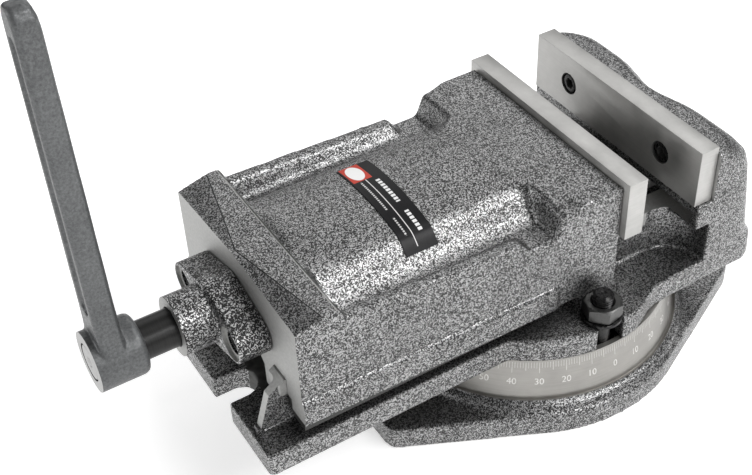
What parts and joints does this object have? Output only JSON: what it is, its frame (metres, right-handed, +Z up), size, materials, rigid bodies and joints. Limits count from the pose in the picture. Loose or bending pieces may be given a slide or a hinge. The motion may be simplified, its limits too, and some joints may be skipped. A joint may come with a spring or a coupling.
{
  "type": "rotary machine vise",
  "caption": "Swivel-base milling vise: ground jaw plates, crank-driven lead screw, sliding jaw on guides, graduated base clamped by T-bolts.",
  "frame": {"origin": "on the swivel axis, at the underside of the base", "axes": "+X along the lead screw from the crank to the fixed jaw, +Y towards the far side, +Z up"},
  "size_m": [0.336, 0.171, 0.265],
  "materials": {
    "hammertone_paint": "hammertone grey enamel on cast iron, machined faces bare",
    "ground_steel": "ground bright",
    "bronze": "turned bearing bronze",
    "black_steel": "black oxide, slightly oiled",
    "grey_casting": "satin grey casting",
    "label": "gloss film, no words"
  },
  "bodies": {
    "base": {"swivel_base": "hammertone_paint", "pivot_pin": "ground_steel"},
    "vise_body": {"vise_body": "hammertone_paint", "fixed_jaw_plate": "ground_steel", "fixed_plate_screw_far": "black_steel", "fixed_plate_screw_near": "black_steel", "screw_nut": "bronze", "nut_bolt_front": "black_steel", "nut_bolt_rear": "black_steel", "clamp_bolt_far": "black_steel", "clamp_bolt_near": "black_steel", "clamp_washer_far": "black_steel", "clamp_washer_near": "black_steel"},
    "far_clamp_nut": {"clamp_nut_far": "black_steel"},
    "near_clamp_nut": {"clamp_nut_near": "black_steel"},
    "carriage": {"moving_jaw": "hammertone_paint", "moving_jaw_plate": "ground_steel", "moving_plate_screw_far": "black_steel", "moving_plate_screw_near": "black_steel", "keeper_far": "ground_steel", "keeper_near": "ground_steel", "keeper_screw_far_front": "black_steel", "keeper_screw_far_middle": "black_steel", "keeper_screw_far_rear": "black_steel", "keeper_screw_near_front": "black_steel", "keeper_screw_near_middle": "black_steel", "keeper_screw_near_rear": "black_steel", "bearing_flange": "hammertone_paint", "bearing_screw_far": "black_steel", "bearing_screw_near": "black_steel", "thrust_washer_front": "bronze", "thrust_washer_rear": "bronze", "nameplate": "label"},
    "screw": {"lead_screw": "black_steel", "crank_handle": "grey_casting", "crank_key": "ground_steel", "crank_set_screw": "black_steel"}
  },
  "joints": [
    {"name": "swivel", "type": "hinge", "parent": "base", "child": "vise_body", "pos_m": [0, 0, 0.0397], "axis": [0, 0, 1], "continuous": true},
    {"name": "far_nut_turn", "type": "hinge", "parent": "vise_body", "child": "far_clamp_nut", "pos_m": [-0.003, 0.06623, 0.0554], "axis": [0, 0, 1], "range_deg": [0, 360]},
    {"name": "near_nut_turn", "type": "hinge", "parent": "vise_body", "child": "near_clamp_nut", "pos_m": [-0.003, -0.06623, 0.0554], "axis": [0, 0, 1], "range_deg": [0, 360]},
    {"name": "jaw_slide", "type": "slide", "parent": "vise_body", "child": "carriage", "axis": [1, 0, 0], "range_m": [-0.068, 0.0319]},
    {"name": "screw_turn", "type": "hinge", "parent": "carriage", "child": "screw", "pos_m": [-0.2053, 0, 0.0933], "axis": [1, 0, 0], "range_deg": [-4890, 2290]}
  ],
  "couplings": [
    {"joint": "jaw_slide", "follows": "screw_turn", "m_per_rad": 0.00079577}
  ]
}
